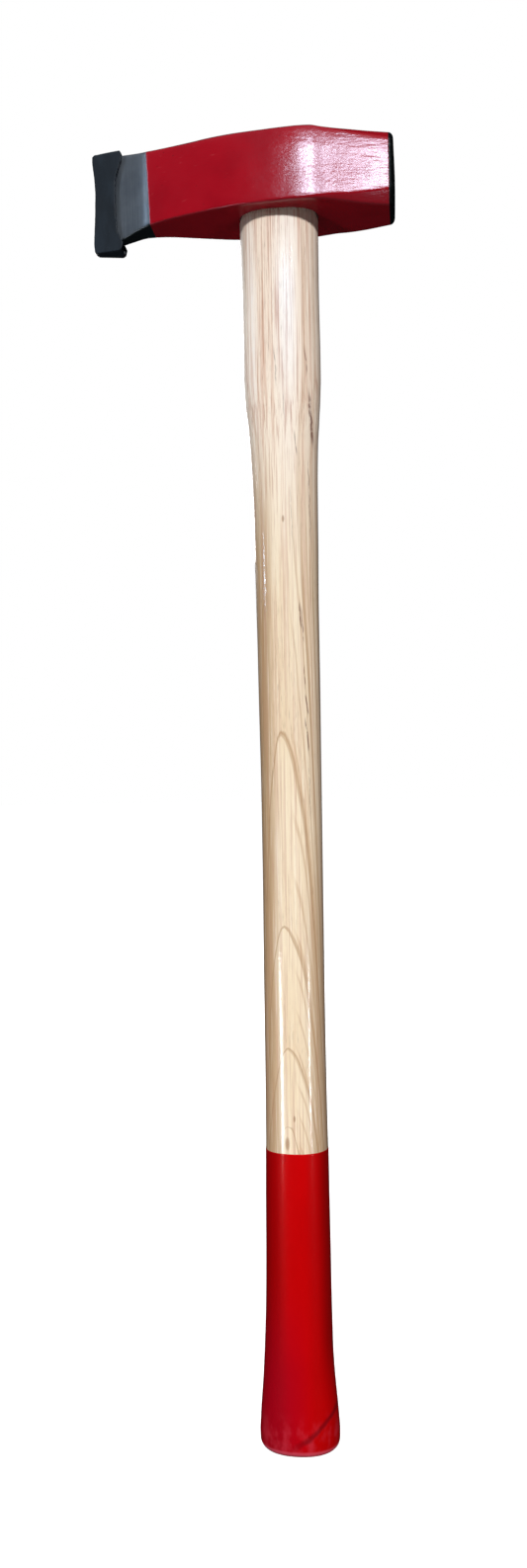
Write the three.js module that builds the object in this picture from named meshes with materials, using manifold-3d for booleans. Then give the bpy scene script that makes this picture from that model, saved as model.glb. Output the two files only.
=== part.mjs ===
// Splitting maul: forged wedge head with a hammer poll, hickory handle driven up into the eye and
// locked there by one wooden and two steel wedges, a red dip coat on the grip, and a push-on edge guard.
//
// Frame, in millimetres: the handle's axis is Z, with the butt on z = 0 and the head at the top.
// The cutting edge points to -X, the poll to +X, and the cheeks face -Y and +Y.
import * as THREE from "three";
import { mergeVertices } from "three/addons/utils/BufferGeometryUtils.js";
import Module from "manifold-3d";

const wasm = await Module();
wasm.setup();

// ---- Driving dimensions -------------------------------------------------------------------------
const HANDLE_TOP = 900; // end grain above the butt
const HEAD_BOTTOM = 848.4; // flat underside of the head
const HEAD_TOP = 897.8; // flat top of the head
const EDGE_X = -125; // corners of the cutting edge
const EDGE_BOW = 1.2; // how far the middle of the cutting edge stands ahead of its corners
const POLL_X = 80; // striking face
const POLL_BEVEL = 3.5; // bevel round the striking face
const ARRIS = 0.9; // broken corner along the head's long edges
const GAP = 0.3; // left between neighbouring pieces
const DIP_TOP = 206; // upper line of the dip coat
const DIP_PROUD = 0.4; // dip coat standing over the wood
const DIP_WALL = 0.7; // dip coat's own thickness
const BUTT_RADIUS = 6; // rounding at the foot of the grip
const KERF_DEPTH = 34; // kerf down from the handle's top, spread open by the wooden wedge
const KERF_TOP_HALF = 3.6; // half its width at the top
const KERF_ROOT_HALF = 1.3; // and at its root
const GUARD_WALL = 2; // guard's cheeks
const GUARD_NOSE_WALL = 0.6; // how much thicker the guard is than its pocket at the nose
const GUARD_END_WALL = 1.7; // guard's top and bottom
const GUARD_CLEARANCE = 0.5; // between the guard's pocket and the bit's ground faces
const GUARD_TOP = 902.9;
const GUARD_BOTTOM = 832.6;

// Handle along its length: [height, width along X, depth along Y, bow of the centre line along X].
const HANDLE_STATIONS = [
  [BUTT_RADIUS, 54.6, 43.2, 0],
  [18, 54.0, 42.6, 0],
  [34, 51.2, 40.6, -0.1],
  [52, 48.5, 38.8, 0],
  [86, 45.6, 37.2, 0.4],
  [138, 44.1, 36.6, 0.9],
  [206, 43.0, 36.4, 1.1],
  [300, 42.4, 35.4, 1.3],
  [412, 41.7, 34.6, 1.4],
  [515, 42.6, 34.2, 1.3],
  [618, 44.4, 34.6, 1.0],
  [669, 46.0, 35.2, 0.6],
  [695, 47.9, 36.0, 0.4],
  [712, 50.6, 37.1, 0.1],
  [729, 53.0, 38.0, 0],
  [747, 53.8, 38.4, 0],
  [795, 53.8, 38.4, -0.2],
  [HEAD_BOTTOM, 54.2, 38.4, -0.3],
];
const HANDLE_SAMPLES = 44; // rows that the handle is lofted over
const HANDLE_OVAL = 2.2; // superellipse power of the handle's section
const EYE_OVAL = 2.5; // and of the eye, which is a little squarer

// Eye through the head: [height above the underside, length along X, width along Y].
const EYE_STATIONS = [
  [-1, 56.4, 40.6],
  [0, 54.8, 39.0],
  [2.4, 51.6, 35.6],
  [16, 49.2, 33.4],
  [28, 49.2, 33.4],
  [HEAD_TOP - HEAD_BOTTOM, 52.6, 36.8],
  [HEAD_TOP - HEAD_BOTTOM + 3, 53.0, 37.2],
];

// Head along its length: [x, thickness along Y].
const THICKNESS = [
  [EDGE_X, 1.8],
  [-112, 8.8],
  [-100, 15.2],
  [-90, 20.8],
  [-80, 27.0],
  [-64, 36.8],
  [-48, 46.2],
  [-32, 53.6],
  [-16, 58.6],
  [0, 61.4],
  [13, 62.8],
  [23, 62.6],
  [33, 60.2],
  [50, 54.8],
  [62, 50.6],
  [POLL_X - POLL_BEVEL, 44.2],
];
// The bit is deeper than the body, mostly downwards: [x, z] along the lower and upper outlines.
const LOWER_EDGE = [
  [EDGE_X, 835.0],
  [-118, 837.4],
  [-111, 840.3],
  [-104, 843.1],
  [-96, 845.8],
  [-87, 847.6],
  [-74, HEAD_BOTTOM],
  [36, HEAD_BOTTOM],
  [50, 847.4],
  [64, 846.8],
  [POLL_X, 846.6],
];
const UPPER_EDGE = [
  [EDGE_X, 900.8],
  [-112, 900.2],
  [-96, 899.2],
  [-80, 898.3],
  [-60, HEAD_TOP],
  [24, HEAD_TOP],
  [38, 896.8],
  [56, 896.0],
  [POLL_X, 896.0],
];
const CHAMFER_START = 27; // the poll's corner chamfers grow from nothing here
const CHAMFER_END = 7.6; // to this at the poll

// ---- Materials ----------------------------------------------------------------------------------
const material = (color, roughness, metalness) =>
  new THREE.MeshStandardMaterial({ color, roughness, metalness });
const redEnamel = material(0xa30f1d, 0.38, 0.1);
const hickory = material(0xdcc09a, 0.45, 0);
const redDip = material(0xb3060c, 0.4, 0);
const wedgeWood = material(0xcfa877, 0.7, 0);
const steel = material(0x6c7074, 0.42, 1);
const blackRubber = material(0x20262e, 0.62, 0);

// ---- Geometry helpers ---------------------------------------------------------------------------
const lerp = THREE.MathUtils.lerp;

// Straight-line reading of a table of [x, value] rows.
function readTable(table, x) {
  const last = table.length - 1;
  if (x <= table[0][0]) return table[0][1];
  for (let i = 0; i < last; i++) {
    const [x0, v0] = table[i];
    const [x1, v1] = table[i + 1];
    if (x <= x1) return lerp(v0, v1, (x - x0) / (x1 - x0));
  }
  return table[last][1];
}

// Closed skin over rings of equal point counts, with a fan at each end.
function loft(rings) {
  const count = rings[0].length;
  const points = rings.flat();
  const index = [];
  for (let r = 0; r + 1 < rings.length; r++) {
    for (let i = 0; i < count; i++) {
      const j = (i + 1) % count;
      const [a, b] = [r * count + i, r * count + j];
      const [c, d] = [a + count, b + count];
      index.push(a, b, d, a, d, c);
    }
  }
  const centre = (ring) =>
    ring.reduce((sum, p) => sum.add(p), new THREE.Vector3()).divideScalar(count);
  const firstRing = 0;
  const lastRing = (rings.length - 1) * count;
  const firstCentre = points.push(centre(rings[0])) - 1;
  const lastCentre = points.push(centre(rings.at(-1))) - 1;
  for (let i = 0; i < count; i++) {
    const j = (i + 1) % count;
    index.push(firstCentre, firstRing + j, firstRing + i);
    index.push(lastCentre, lastRing + i, lastRing + j);
  }
  return new THREE.BufferGeometry().setFromPoints(points).setIndex(index);
}

// Superellipse ring at one height, turning from +X towards +Y.
function ovalRing(z, width, depth, shift, power, segments) {
  const bend = (value) => Math.sign(value) * Math.abs(value) ** (2 / power);
  return Array.from({ length: segments }, (_, i) => {
    const turn = (2 * Math.PI * i) / segments;
    return new THREE.Vector3(
      shift + (width / 2) * bend(Math.cos(turn)),
      (depth / 2) * bend(Math.sin(turn)),
      z,
    );
  });
}

// three.js geometry to manifold solid, and back.
function solidOf(geometry) {
  const bare = geometry.clone();
  bare.deleteAttribute("normal");
  bare.deleteAttribute("uv");
  const merged = mergeVertices(bare, 1e-4);
  return new wasm.Manifold(
    new wasm.Mesh({
      numProp: 3,
      vertProperties: merged.attributes.position.array,
      triVerts: new Uint32Array(merged.index.array),
    }),
  );
}

function geometryOf(solid) {
  const mesh = solid.getMesh();
  const geometry = new THREE.BufferGeometry();
  geometry.setAttribute("position", new THREE.BufferAttribute(mesh.vertProperties, 3));
  geometry.setIndex(new THREE.BufferAttribute(mesh.triVerts, 1));
  return geometry;
}

// Flat outline of [a, b] points, extruded.
function extrude(outline, depth) {
  const shape = new THREE.Shape(outline.map(([a, b]) => new THREE.Vector2(a, b)));
  return new THREE.ExtrudeGeometry(shape, { depth, bevelEnabled: false });
}

// ---- Handle -------------------------------------------------------------------------------------
const OVAL_SEGMENTS = 48;

// The stations joined by one smooth curve: rows of [height, width, depth, shift].
function handleRows(samples) {
  const shiftTable = HANDLE_STATIONS.map(([z, , , shift]) => [z, shift]);
  const curve = new THREE.CatmullRomCurve3(
    HANDLE_STATIONS.map(([z, width, depth]) => new THREE.Vector3(width, depth, z)),
    false,
    "centripetal",
  );
  return curve
    .getSpacedPoints(samples)
    .map((p) => [p.z, p.x, p.y, readTable(shiftTable, p.z)]);
}

// Rows that round the foot of the grip into a flat face on height floor, grown by proud all round.
function buttRows(floor, proud) {
  const [, width, depth] = HANDLE_STATIONS[0];
  const radius = BUTT_RADIUS - floor;
  const steps = 5;
  return Array.from({ length: steps }, (_, i) => {
    const angle = (Math.PI / 2) * (i / steps);
    const growth = 2 * (proud - radius * (1 - Math.sin(angle)));
    const height = BUTT_RADIUS - radius * Math.cos(angle);
    return [height, width + growth, depth + growth, 0];
  });
}

// Rows of the grip from the foot up to the dip line, grown by proud all round.
function gripRows(floor, proud) {
  const clearOfLine = 4;
  const grip = handleRows(HANDLE_SAMPLES).filter(([z]) => z < DIP_TOP - clearOfLine);
  const line = HANDLE_STATIONS.find(([z]) => z === DIP_TOP);
  const grown = [...grip, line].map(([z, width, depth, shift]) => [
    z,
    width + 2 * proud,
    depth + 2 * proud,
    shift,
  ]);
  return [...buttRows(floor, proud), ...grown];
}

const ringsFrom = (rows, power) =>
  rows.map(([z, width, depth, shift]) =>
    ovalRing(z, width, depth, shift, power, OVAL_SEGMENTS),
  );

// The eye's own shape, grown or shrunk all round, for the cut and for what fills it.
function eyeSolid(grow, from, to) {
  const heightOf = (rise) => HEAD_BOTTOM + rise;
  const lengths = EYE_STATIONS.map(([rise, length]) => [heightOf(rise), length]);
  const widths = EYE_STATIONS.map(([rise, , width]) => [heightOf(rise), width]);
  const heights = EYE_STATIONS.map(([rise]) => heightOf(rise)).filter((z) => z > from && z < to);
  const rows = [from, ...heights, to].map((z) => [
    z,
    readTable(lengths, z) + 2 * grow,
    readTable(widths, z) + 2 * grow,
    0,
  ]);
  return solidOf(loft(ringsFrom(rows, EYE_OVAL)));
}

// Kerf for the wooden wedge: a tapered slot along X, open at the top; shrink makes the wedge itself.
function kerfSolid(shrink, top) {
  const topHalf = KERF_TOP_HALF - shrink;
  const rootHalf = KERF_ROOT_HALF - shrink;
  const root = HANDLE_TOP - KERF_DEPTH + shrink;
  const outline = [
    [-rootHalf, root],
    [rootHalf, root],
    [topHalf, top],
    [-topHalf, top],
  ];
  const length = 70; // longer than the tongue
  const slot = extrude(outline, length);
  slot.translate(0, 0, -length / 2);
  // The outline's own axes become Y and Z, and the extrusion runs along X.
  slot.applyMatrix4(
    new THREE.Matrix4().makeBasis(
      new THREE.Vector3(0, 1, 0),
      new THREE.Vector3(0, 0, 1),
      new THREE.Vector3(1, 0, 0),
    ),
  );
  return solidOf(slot);
}

// ---- Steel wedges -------------------------------------------------------------------------------
const STEEL_WEDGE = { width: 19, depth: 22, top: 4.6, tip: 1.0, barbs: 3, barb: 0.35 };
const STEEL_WEDGE_TOP = HANDLE_TOP - 0.4;
const STEEL_WEDGE_X = [-12.5, 12.5];
const STEEL_WEDGE_TURN = Math.PI / 4;

// A tapered plate whose faces step in at each barb, standing upright with its top on z = 0.
function steelWedgeGeometry() {
  const { width, depth, top, tip, barbs, barb } = STEEL_WEDGE;
  const side = [];
  for (let i = 0; i < barbs; i++) {
    const halfAt = (share) => lerp(top, tip, share) / 2;
    side.push([halfAt(i / barbs), -depth * (i / barbs)]);
    side.push([halfAt((i + 1) / barbs) - barb, -depth * ((i + 1) / barbs)]);
  }
  const mirrored = side.map(([half, z]) => [-half, z]).reverse();
  const plate = extrude([...mirrored, ...side], width);
  plate.translate(0, 0, -width / 2);
  return plate.rotateX(Math.PI / 2);
}

// The clear slot that one steel wedge stands in.
function steelSlotGeometry() {
  const { width, depth, top, tip } = STEEL_WEDGE;
  const topHalf = top / 2 + GAP;
  const tipHalf = tip / 2 + GAP;
  const lift = 3; // past the wedge's top, so the slot is open
  const slot = extrude(
    [
      [-tipHalf, -depth - GAP],
      [tipHalf, -depth - GAP],
      [topHalf, 0],
      [topHalf, lift],
      [-topHalf, lift],
      [-topHalf, 0],
    ],
    width + 2 * GAP,
  );
  slot.translate(0, 0, -width / 2 - GAP);
  return slot.rotateX(Math.PI / 2);
}

const placeSteel = (geometry, x) =>
  geometry.rotateZ(STEEL_WEDGE_TURN).translate(x, 0, STEEL_WEDGE_TOP);
const steelSlots = STEEL_WEDGE_X.map((x) => solidOf(placeSteel(steelSlotGeometry(), x)));

// Wood: grip under the dip coat, shaft, swell, then the tongue that fills the eye.
function handleGeometry() {
  const clearOfLine = 4;
  const [, width, depth, shift] = HANDLE_STATIONS.find(([z]) => z === DIP_TOP);
  const step = DIP_TOP + GAP;
  const grip = gripRows(DIP_WALL + GAP, DIP_PROUD - DIP_WALL - GAP);
  const [, gripWidth, gripDepth] = grip.at(-1);
  const shaft = handleRows(HANDLE_SAMPLES).filter(([z]) => z > DIP_TOP + clearOfLine);
  const rows = [
    ...grip.slice(0, -1),
    [step, gripWidth, gripDepth, shift],
    [step, width, depth, shift],
    ...shaft,
  ];
  const blank = solidOf(loft(ringsFrom(rows, HANDLE_OVAL)));
  const tongue = eyeSolid(-GAP, HEAD_BOTTOM - GAP, HANDLE_TOP);
  let handle = blank.add(tongue).subtract(kerfSolid(0, HANDLE_TOP + 3));
  for (const slot of steelSlots) handle = handle.subtract(slot);
  return geometryOf(handle);
}

// Wedge driven down the kerf, trimmed to the eye and notched where the steel wedges cross it.
function woodenWedgeGeometry() {
  const top = HANDLE_TOP + 0.3;
  let wedge = kerfSolid(GAP, top).intersect(eyeSolid(-GAP, HEAD_BOTTOM, top + 1));
  for (const slot of steelSlots) wedge = wedge.subtract(slot);
  return geometryOf(wedge);
}

// Red coat over the foot of the handle: a thin cup, flat underneath.
function dipCoatGeometry() {
  const cup = (floor, proud, lift) => {
    const rows = gripRows(floor, proud);
    rows.at(-1)[0] += lift;
    return solidOf(loft(ringsFrom(rows, HANDLE_OVAL)));
  };
  const outer = cup(0, DIP_PROUD, 0);
  const inner = cup(DIP_WALL, DIP_PROUD - DIP_WALL, 1);
  return geometryOf(outer.subtract(inner));
}

// ---- Head ---------------------------------------------------------------------------------------
// Section across the head at x: a box with chamfered corners; the cheeks carry extra points so that
// the cutting edge can bow.
function headRing(x, inset) {
  const half = readTable(THICKNESS, x) / 2 - inset;
  const low = readTable(LOWER_EDGE, x) + inset;
  const high = readTable(UPPER_EDGE, x) - inset;
  const grown = (CHAMFER_END - ARRIS) / (POLL_X - POLL_BEVEL - CHAMFER_START);
  const chamfer = Math.min(half * 0.6, ARRIS + Math.max(0, x - CHAMFER_START) * grown) - inset / 3;
  const cheekSteps = 6;
  const middle = (low + high) / 2;
  const nearEdge = THREE.MathUtils.clamp((-70 - x) / (-70 - EDGE_X), 0, 1);
  const bow = (z) => EDGE_BOW * nearEdge ** 2 * (1 - ((z - middle) / (high - middle)) ** 2);
  const cheek = (side) =>
    Array.from({ length: cheekSteps + 1 }, (_, i) => {
      const z = lerp(low + chamfer, high - chamfer, i / cheekSteps);
      return new THREE.Vector3(x - bow(z), side * half, z);
    });
  const cap = (side, z) => new THREE.Vector3(x - bow(z), side * (half - chamfer), z);
  return [cap(-1, low), cap(1, low), ...cheek(1), cap(1, high), cap(-1, high), ...cheek(-1).reverse()];
}

function headGeometry() {
  const step = 4;
  const faceStart = POLL_X - POLL_BEVEL;
  const regular = Array.from({ length: Math.ceil((faceStart - EDGE_X) / step) }, (_, i) =>
    Math.min(faceStart, EDGE_X + i * step),
  );
  const rings = [...regular, faceStart].map((x) => headRing(x, 0));
  rings.push(headRing(POLL_X, POLL_BEVEL));
  const forging = solidOf(loft(rings));
  return geometryOf(forging.subtract(eyeSolid(0, HEAD_BOTTOM - 1, HEAD_TOP + 3)));
}

// ---- Edge guard ---------------------------------------------------------------------------------
// Side outline [x, z] of the guard: hollowed nose on the left, notched rim on the right.
const GUARD_OUTLINE = [
  [-130.6, GUARD_BOTTOM],
  [-131.2, 837],
  [-130.4, 850],
  [-129.6, 863],
  [-129.4, 876],
  [-130.2, 886],
  [-131.4, 899],
  [-130.8, GUARD_TOP],
  [-111.6, GUARD_TOP],
  [-110.2, 900.6],
  [-116.8, 886.5],
  [-116.8, 862],
  [-115.4, 848],
  [-110.6, 838.6],
  [-111.2, GUARD_BOTTOM],
];
const GUARD_NOSE_X = -131.4;
const GUARD_MOUTH_X = -105;

// Wedge-shaped block in plan, from z0 to z1, whose half thickness is noseHalf at noseX.
function planWedge(noseX, noseHalf, mouthHalf, z0, z1) {
  const plan = extrude(
    [
      [noseX, -noseHalf],
      [GUARD_MOUTH_X, -mouthHalf],
      [GUARD_MOUTH_X, mouthHalf],
      [noseX, noseHalf],
    ],
    z1 - z0,
  );
  return solidOf(plan.translate(0, 0, z0));
}

function edgeGuardGeometry() {
  const span = 40; // wider than the guard
  const outline = extrude(GUARD_OUTLINE, span).translate(0, 0, -span / 2);
  // The side outline's own axes become X and Z, and the extrusion runs across the blade.
  const side = solidOf(outline.rotateX(Math.PI / 2));
  const bladeHalf = (x) => readTable(THICKNESS, x) / 2;
  const pocketNose = EDGE_X - EDGE_BOW - GAP;
  const pocketNoseHalf = bladeHalf(EDGE_X) + GUARD_CLEARANCE;
  const pocketMouthHalf = bladeHalf(GUARD_MOUTH_X) + GUARD_CLEARANCE;
  const outer = planWedge(
    GUARD_NOSE_X,
    pocketNoseHalf + GUARD_NOSE_WALL,
    pocketMouthHalf + GUARD_WALL,
    GUARD_BOTTOM - 1,
    GUARD_TOP + 1,
  );
  const pocket = planWedge(
    pocketNose,
    pocketNoseHalf,
    pocketMouthHalf,
    GUARD_BOTTOM + GUARD_END_WALL,
    GUARD_TOP - GUARD_END_WALL,
  );
  return geometryOf(outer.intersect(side).subtract(pocket));
}

// ---- Assembly -----------------------------------------------------------------------------------
function piece(name, geometry, finish) {
  const mesh = new THREE.Mesh(geometry, finish);
  mesh.name = name;
  return mesh;
}

const maul = new THREE.Group();
maul.add(
  piece("maul_head", headGeometry(), redEnamel),
  piece("hickory_handle", handleGeometry(), hickory),
  piece("grip_dip_coat", dipCoatGeometry(), redDip),
  piece("wooden_wedge", woodenWedgeGeometry(), wedgeWood),
  piece("edge_guard", edgeGuardGeometry(), blackRubber),
);
STEEL_WEDGE_X.forEach((x, i) => {
  maul.add(piece(`steel_wedge_${i + 1}`, placeSteel(steelWedgeGeometry(), x), steel));
});

export default maul;
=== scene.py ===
import math

import bmesh
import bpy
import numpy as np
from mathutils import Matrix, Vector, noise


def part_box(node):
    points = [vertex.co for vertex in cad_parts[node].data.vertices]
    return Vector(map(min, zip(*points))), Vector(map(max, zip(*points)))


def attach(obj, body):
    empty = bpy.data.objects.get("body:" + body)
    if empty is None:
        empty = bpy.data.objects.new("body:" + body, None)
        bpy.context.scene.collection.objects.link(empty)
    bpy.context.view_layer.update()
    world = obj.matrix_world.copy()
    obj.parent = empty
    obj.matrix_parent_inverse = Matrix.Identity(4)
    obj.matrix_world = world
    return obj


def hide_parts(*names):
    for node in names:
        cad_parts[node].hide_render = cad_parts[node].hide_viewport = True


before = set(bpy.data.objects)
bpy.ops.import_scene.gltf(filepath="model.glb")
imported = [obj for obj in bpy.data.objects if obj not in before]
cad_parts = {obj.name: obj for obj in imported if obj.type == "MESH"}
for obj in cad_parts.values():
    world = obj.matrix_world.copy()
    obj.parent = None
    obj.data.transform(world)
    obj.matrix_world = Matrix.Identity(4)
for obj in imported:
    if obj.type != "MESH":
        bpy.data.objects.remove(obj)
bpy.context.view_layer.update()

# ---- Driving dimensions, in millimetres unless a name says otherwise ----------------------------
MM = 0.001
head_low, head_high = (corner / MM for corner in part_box("maul_head"))
_, coat_high = (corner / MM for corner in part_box("grip_dip_coat"))
_, handle_high = (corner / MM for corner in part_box("hickory_handle"))

POLL_X = head_high.x  # striking face
EDGE_BOW = 1.2  # how far the middle of the cutting edge stands ahead of its corners
EDGE_X = head_low.x + EDGE_BOW  # corners of the cutting edge
POLL_RIM = 3.8  # rounding of the poll's rim
POLL_CROWN = 0.4  # rise of the striking face towards its middle
CORNER_RADIUS = 0.9  # rounding of the head's lengthwise edges
CHEEK_CROWN = 0.022  # how far the cheeks lean in towards the top, as a share of the thickness
HEAD_BOTTOM = 848.4
HEAD_TOP = 897.8
HANDLE_TOP = handle_high.z
COAT_TOP = coat_high.z
COAT_WALL = 0.25  # dip coat standing over the wood
COAT_GAP = 0.02  # between the coat and the wood
COAT_FLOOR = 0.6  # thickness of the coat under the butt
WOOD_FLOOR = 0.8  # height of the wood's flat butt, inside the coat
BUTT_RADIUS = 6.0
RING_STEP = 2.2  # spacing of the handle's mesh rings
EYE_GAP = 0.25  # between the tongue and the eye
KERF_DEPTH = 34.0
WEDGE_CLEARANCE = 0.1  # all round each wedge in its cut
WOOD_WEDGE_HALF = (3.3, 0.9)  # half thickness at the handle's top and at the kerf's root
STEEL_WEDGE_X = (-12.5, 12.5)
STEEL_WEDGE_DEPTH = 22.0
STEEL_WEDGE_WIDTH = 19.0
STEEL_WEDGE_HALF = 2.3  # half thickness at the top
STEEL_WEDGE_TAPER = 1.8  # what the half thickness loses down to the tip
STEEL_WEDGE_BARBS = 3
STEEL_WEDGE_SINK = 0.3  # its top below the handle's top
BARB = 0.35  # how far each barb steps in
KERF_RISE, SLOT_RISE = 3.0, 4.0  # the wedges' cutting tools stand this far above their tops
KERF_REACH = 35  # and the kerf's tool reaches this far to each side of the handle's axis

# Head along its length, as (x, value). Ahead of the paint line its thickness is ground back.
THICKNESS = [
    (-126, 0.6), (-124.6, 2.0), (-118, 5.4), (-112, 8.8), (-104, 12.4), (-97, 15.9), (-93.2, 18.3),
    (-90.6, 20.6), (-88, 22.3), (-80, 27.2), (-72, 32.0), (-64, 36.8), (-56, 41.4), (-48, 46.0),
    (-40, 50.2), (-32, 53.6), (-24, 56.3), (-16, 58.5), (-8, 60.1), (0, 61.4), (8, 62.3), (16, 62.8),
    (24, 62.3), (30, 61.0), (38, 58.5), (48.6, 55.2), (61.6, 51.0), (76.2, 46.0), (POLL_X, 44.8),
]
LOWER_EDGE = [
    (-126, 834.9), (-118, 837.6), (-112, 839.9), (-104, 842.9), (-96, 845.7), (-88, 847.3),
    (-80, 848.0), (-72, 848.3), (-60, 848.4), (36, 848.4), (48.6, 847.4), (61.6, 846.8), (POLL_X, 846.7),
]
UPPER_EDGE = [
    (-126, 900.8), (-112, 900.2), (-96, 899.2), (-80, 898.3), (-56, 897.8), (24, 897.6),
    (32, 896.6), (48.6, 895.9), (61.6, 895.6), (POLL_X, 895.9),
]
CHAMFER = [(-126, 0.25), (-112, 0.7), (20, 0.9), (27, 1.2), (48.6, 3.6), (61.6, 5.4), (POLL_X, 8.0)]

# Handle along its length: (height, width along X, depth along Y, bow of the centre line along X).
HANDLE = [
    (BUTT_RADIUS, 54.6, 43.2, 0), (11, 54.9, 43.2, 0), (18, 54.1, 42.6, 0), (27, 52.9, 41.7, 0),
    (35, 51.5, 40.8, 0), (52, 48.8, 39.0, 0), (69, 47.0, 38.0, 0.1), (86, 45.9, 37.3, 0.4),
    (103, 45.1, 36.9, 0.6), (138, 44.3, 36.6, 0.9), (172, 43.7, 36.5, 1.0), (206, 43.0, 36.3, 1.2),
    (241, 42.5, 36.0, 1.2), (309, 42.0, 35.3, 1.3), (378, 41.8, 34.8, 1.5), (446, 41.8, 34.4, 1.6),
    (515, 42.6, 34.2, 1.4), (549, 42.8, 34.2, 1.3), (583, 43.3, 34.4, 1.1), (618, 44.4, 34.6, 1.0),
    (652, 45.2, 34.9, 0.8), (669, 45.9, 35.2, 0.6), (686, 47.0, 35.7, 0.5), (695, 47.9, 36.1, 0.4),
    (703, 49.1, 36.6, 0.4), (712, 50.6, 37.2, 0.2), (720, 52.0, 37.7, 0.1), (729, 53.0, 38.1, 0),
    (738, 53.7, 38.3, 0), (755, 53.7, 38.4, 0), (789, 53.6, 38.4, -0.2), (823, 54.0, 38.4, -0.3),
    (846.6, 54.2, 38.4, -0.3),
]
# Tongue in the eye: (height, length along X, width along Y).
EYE = [
    (847.0, 56.0, 40.4), (HEAD_BOTTOM, 54.8, 39.0), (851.0, 51.6, 35.8), (864, 49.2, 33.4),
    (876, 49.2, 33.4), (HEAD_TOP, 52.6, 36.8), (901.2, 53.0, 37.2),
]
HANDLE_OVAL = 2.2
EYE_OVAL = 2.5


# ---- Mesh helpers -------------------------------------------------------------------------------
def curve_through(rows):
    """Reads a table of (place, value, ...) rows as smooth curves that don't overshoot its rows."""
    table = np.array(rows, float)
    places, values = table[:, 0], table[:, 1:]
    steps = np.diff(places)[:, None]
    slopes = np.diff(values, axis=0) / steps
    tangents = np.vstack([slopes[:1], np.zeros_like(slopes[1:]), slopes[-1:]])
    before, after = slopes[:-1], slopes[1:]
    same_way = before * after > 0
    total = np.where(same_way, before + after, 1.0)
    tangents[1:-1] = np.where(same_way, 2 * before * after / total, 0.0)

    def read(place):
        i = int(np.clip(np.searchsorted(places, place) - 1, 0, len(steps) - 1))
        t = float(np.clip((place - places[i]) / steps[i, 0], 0, 1))
        start = values[i] * (2 * t**3 - 3 * t**2 + 1) + values[i + 1] * (3 * t**2 - 2 * t**3)
        lean = tangents[i] * (t**3 - 2 * t**2 + t) + tangents[i + 1] * (t**3 - t**2)
        result = start + lean * steps[i, 0]
        return float(result[0]) if len(result) == 1 else result

    return read


def mesh_object(name, points, faces):
    mesh = bpy.data.meshes.new(name)
    mesh.from_pydata([tuple(point) for point in np.array(points) * MM], [], faces)
    mesh.validate()
    obj = bpy.data.objects.new(name, mesh)
    bpy.context.scene.collection.objects.link(obj)
    return obj


def skin(name, rings):
    """Closed mesh over rings of equal point counts, in millimetres, with a fan at each end."""
    rings = np.array(rings, float)
    ring_count, count = rings.shape[:2]
    points = [*rings.reshape(-1, 3), rings[0].mean(0), rings[-1].mean(0)]
    first_middle, last_middle = len(points) - 2, len(points) - 1
    last_ring = (ring_count - 1) * count
    faces = []
    for r in range(ring_count - 1):
        for i in range(count):
            j = (i + 1) % count
            faces.append((r * count + i, r * count + j, (r + 1) * count + j, (r + 1) * count + i))
    for i in range(count):
        j = (i + 1) % count
        faces.append((first_middle, j, i))
        faces.append((last_middle, last_ring + i, last_ring + j))
    return mesh_object(name, points, faces)


def oval(height, width, depth, shift, power, segments=96):
    """Superellipse ring at one height, turning from +X towards +Y."""
    turn = np.linspace(0, 2 * math.pi, segments, endpoint=False)
    across, along = np.cos(turn), np.sin(turn)
    x = shift + width / 2 * np.sign(across) * np.abs(across) ** (2 / power)
    y = depth / 2 * np.sign(along) * np.abs(along) ** (2 / power)
    return np.column_stack([x, y, np.full(segments, height)])


LONGEST_ROUNDING = 0.42  # of a side, so that the roundings at its two ends stay apart


def rounding_ends(before, here, after, radius):
    """Where the rounding of the corner here starts, on the side from before, and ends."""
    back, ahead = before - here, after - here
    back_length, ahead_length = np.linalg.norm(back), np.linalg.norm(ahead)
    reach = min(radius, LONGEST_ROUNDING * back_length, LONGEST_ROUNDING * ahead_length)
    return here + back / back_length * reach, here + ahead / ahead_length * reach


def rounded_outline(corners, radius, side_steps, arc_steps):
    """Points round a closed polygon with its corners rounded, always the same number of them."""
    corners = np.array(corners, float)
    count = len(corners)
    points = []
    for i in range(count):
        before, here = corners[i - 1], corners[i]
        after, beyond = corners[(i + 1) % count], corners[(i + 2) % count]
        start, end = rounding_ends(before, here, after, radius)
        for t in np.linspace(0, 1, arc_steps + 1):
            points.append((1 - t) ** 2 * start + 2 * t * (1 - t) * here + t**2 * end)
        side_end, _ = rounding_ends(here, after, beyond, radius)
        for t in np.linspace(0, 1, side_steps[i] + 1)[1:-1]:
            points.append(end + (side_end - end) * t)
    return np.array(points)


def prism(name, outline, low, high, axis):
    """Flat outline pushed along one axis, "X", "Y" or "Z"; the outline gives the other two in order."""
    order = {"X": (2, 0, 1), "Y": (0, 2, 1), "Z": (0, 1, 2)}[axis]
    rings = []
    for place in (low, high):
        ring = np.array([(a, b, place) for a, b in outline], float)
        rings.append(ring[:, order])
    obj = skin(name, rings)
    make_normals_outward(obj)
    return obj


def make_normals_outward(obj):
    bm = bmesh.new()
    bm.from_mesh(obj.data)
    bmesh.ops.recalc_face_normals(bm, faces=bm.faces)
    bm.to_mesh(obj.data)
    bm.free()


def apply_modifiers(obj):
    """Leaves the object with the mesh that its modifiers make, and with no modifiers."""
    graph = bpy.context.evaluated_depsgraph_get()
    made = bpy.data.meshes.new_from_object(obj.evaluated_get(graph), depsgraph=graph)
    obj.modifiers.clear()
    obj.data = made


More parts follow.
